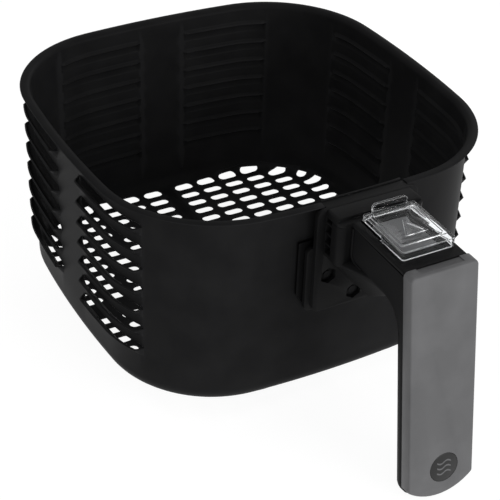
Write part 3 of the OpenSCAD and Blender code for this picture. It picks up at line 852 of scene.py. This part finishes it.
def room_cutters():
    """Room for the mechanism in the neck, for its cradle in the block, and for the bracket."""
    neck_hw, block_hw, bracket_hw = 15.3, 21.8, 25
    back = FRONT_Y - 0.7
    return [
        box_solid("room", (HANDLE_X - neck_hw, -166, NECK_LOW + 2.6),
                  (HANDLE_X + neck_hw, back, LID_SEAM + 2)),
        box_solid("room_wide", (HANDLE_X - block_hw, STEP_Y + 2.5, BLOCK_LOW + 4),
                  (HANDLE_X + block_hw, back, LID_SEAM + 2)),
        box_solid("bracket_room", (HANDLE_X - bracket_hw, LAND_Y, BLOCK_LOW - 1),
                  (HANDLE_X + bracket_hw, SHELL_FRONT, BRACKET_HIGH.z + 0.3)),
    ]


def window_cutters():
    """Four openings, one above the other, through the sides of the block."""
    pitch, height = 5.9, 4.8
    cutters = []
    for k in range(4):
        low = TOP - 24.6 + k * pitch
        cutters.append(box_solid("window", (HANDLE_X - 30, FRONT_Y - 5.2, low),
                                 (HANDLE_X + 30, FRONT_Y - 0.3, low + height)))
    return cutters


def rim_cutters():
    """Room for the ends of the rim beside the filling."""
    return [box_solid("rim_room", (x0, SHELL_FRONT + SHEET - RIM - RIM_PLAY, TOP - SHEET - 0.6),
                      (x1, SHELL_FRONT, TOP + 1))
            for x0, x1 in both_sides(RIM_CUT - RIM_PLAY, PLATE_HW + 1)]


def catch_cutters():
    """Channels for the drawer's catch behind the plate, and holes for the bolt's teeth."""
    tooth_low, tooth_high = 95.7, 102.3
    cutters = []
    for channel, tooth in zip(both_sides(9.6, 15.4), both_sides(10.1, 14.9)):
        cutters.append(box_solid("channel", (channel[0], PLATE_Y - 1.8, TOP - 62),
                                 (channel[1], LAND_Y + 2, TOP - 9)))
        cutters.append(box_solid("tooth_hole", (tooth[0], FRONT_Y - 2, tooth_low),
                                 (tooth[1], PLATE_Y - 1, tooth_high)))
    return cutters


def screw_cutters():
    """A hexagonal pocket for the nut and a hole for the screw, at each screw."""
    nut_flats, pocket_depth, hole_radius = 8.0, 4.2, 2.1
    cutters = []
    for x, z in SCREWS:
        cutters.append(hex_cutter(x, z, nut_flats, FRONT_Y + pocket_depth, FRONT_Y - 2))
        cutters.append(round_cutter(x, z, hole_radius, LAND_Y + 2, FRONT_Y))
    return cutters


def build_frame():
    """The black moulding: plate, block, neck, web and back of the grip in one piece."""
    plate, lands = plate_solid()
    moulding = block_solid()
    combine(moulding, [rim_filling(), plate, lands, neck_solid(), collar_solid(), web_solid()],
            "UNION")
    cutters = (room_cutters() + window_cutters() + rim_cutters() + catch_cutters()
               + screw_cutters())
    combine(moulding, cutters, "DIFFERENCE")
    bevel(moulding, 0.2, 2, 40)
    moulding.name = "handle_moulding"
    return finish_piece(moulding, BLACK, "basket", "black_plastic", "handle_frame")


def build_lid():
    """Cover of the block and the neck; over the block its top is level with the rim."""
    back = FRONT_Y - 0.1
    front = GRIP_Y + 6.8              # where the cover meets the grip
    lid = prism("neck_lid", shifted(block_outline(back)), LID_SEAM, NECK_TOP)
    tongue = box_solid("tongue", (HANDLE_X - NECK_HW, front, LID_SEAM),
                       (HANDLE_X + NECK_HW, STEP_Y + 3, NECK_TOP))
    raised_top = box_solid("raised_top", (HANDLE_X - BLOCK_HW, RAISED_Y, LID_SEAM + 0.5),
                           (HANDLE_X + BLOCK_HW, back, TOP - 0.5))

    def long_edge(edge):
        a, b = (v.co / MM for v in edge.verts)
        return abs(a.x - b.x) < 0.01 and min(a.z, b.z) > NECK_TOP - 0.01

    soften(raised_top, long_edge, 1.8, 6)
    soften(tongue, long_edge, 1.1, 5)
    combine(lid, [tongue, raised_top], "UNION")
    play = 0.3
    opening = rounded_box_outline(BUTTON_LOW.x - play, BUTTON_LOW.y - play,
                                  BUTTON_HIGH.x + play, BUTTON_HIGH.y + play, 1.6)
    cutters = [prism("opening", opening, LID_SEAM - 2, NECK_TOP + 2)]
    for side in (-1, 1):
        x = HANDLE_X + side * FOOT_X
        cutters.append(box_solid("slot", (x - 0.9, -149.3, LID_SEAM - 2),
                                 (x + 0.9, -125.7, NECK_TOP + 2)))
    combine(lid, cutters, "DIFFERENCE")
    bevel(lid, 0.12, 2, 45)
    return finish_piece(lid, BLACK_COVER, "basket", "black_cover_plastic", "neck_cover")


def round_corner(before, corner, after, radius, steps):
    """Points of an arc that rounds the corner between two straight lines."""
    a = (Vector(before) - Vector(corner)).normalized()
    b = (Vector(after) - Vector(corner)).normalized()
    half = a.angle(b) / 2
    centre = Vector(corner) + (a + b).normalized() * radius / math.sin(half)
    start = Vector(corner) + a * radius / math.tan(half) - centre
    stop = Vector(corner) + b * radius / math.tan(half) - centre
    turn = start.angle_signed(stop)
    points = []
    for i in range(steps + 1):
        arm = Matrix.Rotation(-turn * i / steps, 2) @ start
        points.append(tuple(centre + arm))
    return points


def grip_outline(inset, top):
    """Front view of the grip: slightly wider at the foot, with a bowed end."""
    top_hw, foot_hw, length, bow = 18.6 - inset, 18.8 - inset, GRIP_LENGTH - inset, 7.0
    radius = (foot_hw ** 2 + bow ** 2) / (2 * bow)
    half = math.degrees(math.asin(foot_hw / radius))
    foot = arc(0, radius - length, radius, half - 90, -half - 90, 14)
    right = round_corner((0, top), (top_hw, top), foot[0], 2.4, 5)
    right += round_corner((top_hw, top), foot[0], foot[1], 1.8, 4)
    left = [(-x, z) for x, z in reversed(right)]
    return [(x + GRIP_SHIFT, z) for x, z in right + foot[1:-1] + left]


def grip_slab(name, rings):
    """The grip's outline lofted through rings of (inset, depth), its top kept level."""
    verts = []
    for inset, back in rings:
        outline = grip_outline(inset, back * math.tan(TILT) - inset)
        verts += [on_grip(p, back) for p in outline]
    n = len(verts) // len(rings)
    faces = [tuple(range(n)), tuple(range(len(verts) - n, len(verts)))[::-1]]
    for ring in range(len(rings) - 1):
        base = ring * n
        faces += [(base + i, base + i + n, base + (i + 1) % n + n, base + (i + 1) % n)
                  for i in range(n)]
    return make_object(name, verts, faces)


def build_grip_cover():
    """Grey shell of the grip, with a recess for the cover's end and a seat for the badge."""
    cover = grip_slab("grip_shell", [(0.9, 0.0), (0.45, 0.12), (0.12, 0.45), (0.0, 0.9),
                                     (0.0, COVER_DEPTH)])
    middle = HANDLE_X + GRIP_SHIFT
    inset_hw, inset_front = 12.0, GRIP_Y + 2.4
    inset = box_solid("inset", (middle - inset_hw, inset_front, GRIP_TOP - 0.6),
                      (middle + inset_hw, -160, GRIP_TOP + 3))
    seat_radius = BADGE_R + 0.15
    seat = prism("seat", arc(BADGE_X, BADGE_DOWN, seat_radius, 0, 360, 48)[:-1], -2.0, 0.8,
                 on_grip)
    hollow = grip_slab("hollow", [(2.2, 2.4), (2.2, COVER_DEPTH + 2)])
    combine(cover, [inset, seat, hollow], "DIFFERENCE")
    bevel(cover, 0.25, 2, 42)
    return finish_piece(cover, GREY, "basket", "grey_plastic", "grip_cover")


def build_badge():
    """Plain round badge with three short waves, no lettering."""
    outline = arc(BADGE_X, BADGE_DOWN, BADGE_R, 0, 360, 64)[:-1]
    disc = prism("badge", outline, 0.05, 0.75, on_grip)
    soften(disc, lambda e: edge_angle(e) > 1.0, 0.3, 3)
    smooth(disc, 35.0)
    pitch, width, swing = 3.0, 0.9, 0.7
    for row in (-1, 0, 1):
        upper = [(BADGE_X + t, BADGE_DOWN + pitch * row + width / 2 + swing * math.sin(t * 0.9))
                 for t in [x * 0.5 for x in range(-8, 9)]]
        lower = [(x, z - width) for x, z in reversed(upper)]
        wave = prism("wave_%d" % (row + 1), upper + lower, -0.02, 0.3, on_grip)
        smooth(wave, 35.0)
        finish_piece(wave, GREY, "basket", "grey_plastic")
    return finish_piece(disc, DARK_MARK, "basket", "badge_black", "grip_badge")


# ---------------------------------------------------------------- guard and button
GUARD_HW = 14.5
GUARD_BACK, GUARD_FRONT = -127.5, -162.8
GUARD_LOW, GUARD_TOP = NECK_TOP + 0.4, TOP + 3.5
DECK = GUARD_TOP - 0.7            # the guard's top inside its raised border
GUARD_WALL = 1.2
GUARD_SHIFT = 0.6                 # the guard stands a little right of the neck


def move_mesh(obj, shift):
    """Moves an object's points, and not its origin."""
    obj.data.transform(Matrix.Translation(Vector(shift) * MM))


def guard_outline(side, front, back, radius):
    """The guard from above, drawn in at its sides, its front and its back."""
    hw = GUARD_HW - side
    return shifted(rounded_box_outline(-hw, GUARD_FRONT + front, hw, GUARD_BACK - back, radius))


def guard_border():
    """Raised border on the guard's top."""
    ring = prism("ring", guard_outline(1.7, 4.4, 2.5, 1.2), DECK - 0.4, GUARD_TOP)
    hole = prism("ring_hole", guard_outline(3.1, 6.0, 4.1, 0.8), DECK - 0.1, GUARD_TOP + 1)
    return combine(ring, [hole], "DIFFERENCE")


def guard_tab():
    """Upright tab for the finger at the guard's back."""
    outline = rounded_box_outline(-9.7, GUARD_TOP - 3.0, 9.7, TOP + 7.8, 2.0)
    return prism("tab", shifted(outline), GUARD_BACK - 0.25, GUARD_BACK - 1.75, along_y)


def triangle_ridge():
    """Raised outline of a triangle whose tip points to the basket."""
    tip, base_y, half, inside = -139.8, -152.0, 6.2, 0.72
    outer = [(0.0, tip), (-half, base_y), (half, base_y)]
    centre_y = (tip + 2 * base_y) / 3
    inner = [(x * inside, centre_y + (y - centre_y) * inside) for x, y in outer]
    ridge = prism("triangle", shifted(outer), DECK - 0.4, DECK + 0.45)
    hole = prism("triangle_hole", shifted(inner), DECK - 1.0, DECK + 1.0)
    return combine(ridge, [hole], "DIFFERENCE")


def guard_feet():
    """A blade on each side that goes through the cover's slot, with a hook under the cover."""
    front, back, low = -149, -141, LID_SEAM - 1.5
    inner, blade, hook = FOOT_X - 0.6, FOOT_X + 0.6, FOOT_X + 1.7
    feet = []
    for (b0, b1), (h0, h1) in zip(both_sides(inner, blade), both_sides(inner, hook)):
        feet.append(box_solid("blade", (b0, front, low), (b1, back, GUARD_LOW + 1)))
        feet.append(box_solid("hook", (h0, front, low), (h1, back, LID_SEAM - 0.4)))
    return feet


def build_guard():
    """Clear tray turned upside down: raised border, triangle, finger tab and feet."""
    tray = prism("clear_guard", guard_outline(0.0, 0.0, 0.0, 1.4), GUARD_LOW, DECK)
    pieces = [guard_border(), guard_tab(), triangle_ridge()] + guard_feet()
    hollow = prism("hollow", guard_outline(GUARD_WALL, GUARD_WALL, GUARD_WALL, 1.0),
                   GUARD_LOW - 0.5, DECK - GUARD_WALL)
    rear = box_solid("rear", (HANDLE_X - 20, -144, GUARD_LOW - 0.5),
                     (HANDLE_X + 20, GUARD_BACK + 2, TOP - 0.2))
    combine(tray, [hollow, rear], "DIFFERENCE")
    combine(tray, pieces, "UNION")
    move_mesh(tray, (GUARD_SHIFT, 0, 0))
    finish_piece(tray, CLEAR, "guard", "clear_plastic", "safety_guard")
    # The bevel faces get the whiter edge material: a painted highlight along the guard's edges.
    tray.data.materials.append(PAINTED_EDGE_HIGHLIGHT)
    bevel(tray, 0.22, 2, 40, material=1)
    return tray


def build_button():
    """Release button with rounded edges and four grooves across its top."""
    outline = rounded_box_outline(BUTTON_LOW.x, BUTTON_LOW.y, BUTTON_HIGH.x, BUTTON_HIGH.y, 1.4)
    button = prism("button_cap", outline, BUTTON_LOW.z, BUTTON_HIGH.z)
    first, pitch, width, depth, margin = 4.5, 3.2, 1.3, 0.55, 3.5
    grooves = []
    for k in range(4):
        y = BUTTON_LOW.y + first + pitch * k
        grooves.append(box_solid("groove", (BUTTON_LOW.x + margin, y, BUTTON_HIGH.z - depth),
                                 (BUTTON_HIGH.x - margin, y + width, BUTTON_HIGH.z + 1)))
    bevel(button, 0.7, 4, 40)
    combine(button, grooves, "DIFFERENCE")
    bevel(button, 0.15, 2, 40)
    return finish_piece(button, BUTTON_GREY, "button", "grey_button", "release_button")


# ---------------------------------------------------------------- carried-over CAD nodes
def dress_nodes():
    """Materials of the pieces that stay as the CAD has them."""
    looks = {
        "wall_bracket": BLACK_STEEL, "bracket_rivets": BLACK_STEEL, "mount_screws": BLACK_STEEL,
        "mount_nuts": BLACK_STEEL, "cover_screws": ZINC, "grip_screws": ZINC,
        "cradle_screws": ZINC, "guard_detent": BRIGHT_STEEL, "button_spring": BRIGHT_STEEL,
        "cam_pin": BRIGHT_STEEL, "button_carrier": BLACK_COVER, "latch_cradle": BLACK_COVER,
        "latch_bolt": ZINC,
    }
    for name, material in looks.items():
        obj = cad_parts[name]
        obj.data.materials.clear()
        obj.data.materials.append(material)


# ---------------------------------------------------------------- stage
def build_stage():
    """White ground just under the part; sizes here and in the lights are in metres."""
    size, gap = 6.0, 0.0002
    z = CAD_BOX[0][2] - gap
    corners = [(-size, -size, z), (size, -size, z), (size, size, z), (-size, size, z)]
    mesh = bpy.data.meshes.new("ground")
    mesh.from_pydata(corners, [], [(0, 1, 2, 3)])
    ground = bpy.data.objects.new("ground", mesh)
    bpy.context.scene.collection.objects.link(ground)
    material, tree, shader = new_material("ground_white", (0.16, 0.16, 0.16), 0.8, specular=0.0)
    vary_color(tree, shader, noise(tree, 3.0, 2.0), (0.15, 0.15, 0.15), (0.17, 0.17, 0.17))
    shader.inputs["Emission Color"].default_value = (1.0, 1.0, 1.0, 1.0)
    shader.inputs["Emission Strength"].default_value = 0.92
    mesh.materials.append(material)


def area_light(name, place, target, size, power):
    """Square lamp that shines from its place towards a target."""
    light = bpy.data.lights.new(name, "AREA")
    light.shape = "SQUARE"
    light.size = size
    light.energy = power
    obj = bpy.data.objects.new(name, light)
    obj.location = place
    aim = Vector(target) - Vector(place)
    obj.rotation_euler = aim.to_track_quat("-Z", "Y").to_euler()
    bpy.context.scene.collection.objects.link(obj)


def build_lights():
    """Soft white studio light, strongest from the front right."""
    world = bpy.data.worlds.new("studio")
    world.use_nodes = True
    background = world.node_tree.nodes["Background"]
    background.inputs["Color"].default_value = (1.0, 1.0, 1.0, 1.0)
    background.inputs["Strength"].default_value = 0.50
    bpy.context.scene.world = world
    area_light("overhead", (-0.2, 0.1, 1.6), (0.0, 0.0, 0.0), 1.6, 3.0)
    area_light("front", (0.6, -1.7, 0.5), (0.0, -0.1, 0.0), 0.9, 17.0)
    area_light("right_back", (1.3, 0.9, 0.8), (0.0, 0.0, 0.05), 0.8, 2.0)


def build_camera():
    """The photograph's view: azimuth and elevation of the line of sight, and its roll."""
    azimuth, elevation, roll = -29.513, 34.754, 2.087
    distance = 0.7954
    target = Vector((-0.00609, -0.02204, 0.03103))
    camera = bpy.data.cameras.new("camera")
    camera.sensor_width = 36.0
    camera.lens = 102.76
    camera.clip_start = 0.01
    obj = bpy.data.objects.new("camera", camera)
    turn = Euler((math.radians(90 - elevation), 0.0, math.radians(azimuth)), "XYZ").to_matrix()
    turn = turn @ Matrix.Rotation(math.radians(roll), 3, "Z")
    obj.rotation_euler = turn.to_euler()
    obj.location = target + turn @ Vector((0.0, 0.0, distance))
    bpy.context.scene.collection.objects.link(obj)
    bpy.context.scene.camera = obj


bpy.context.scene.view_settings.view_transform = "Standard"
build_camera()
build_stage()
build_lights()
build_basket()
build_frame()
build_lid()
build_grip_cover()
build_badge()
build_guard()
build_button()
dress_nodes()
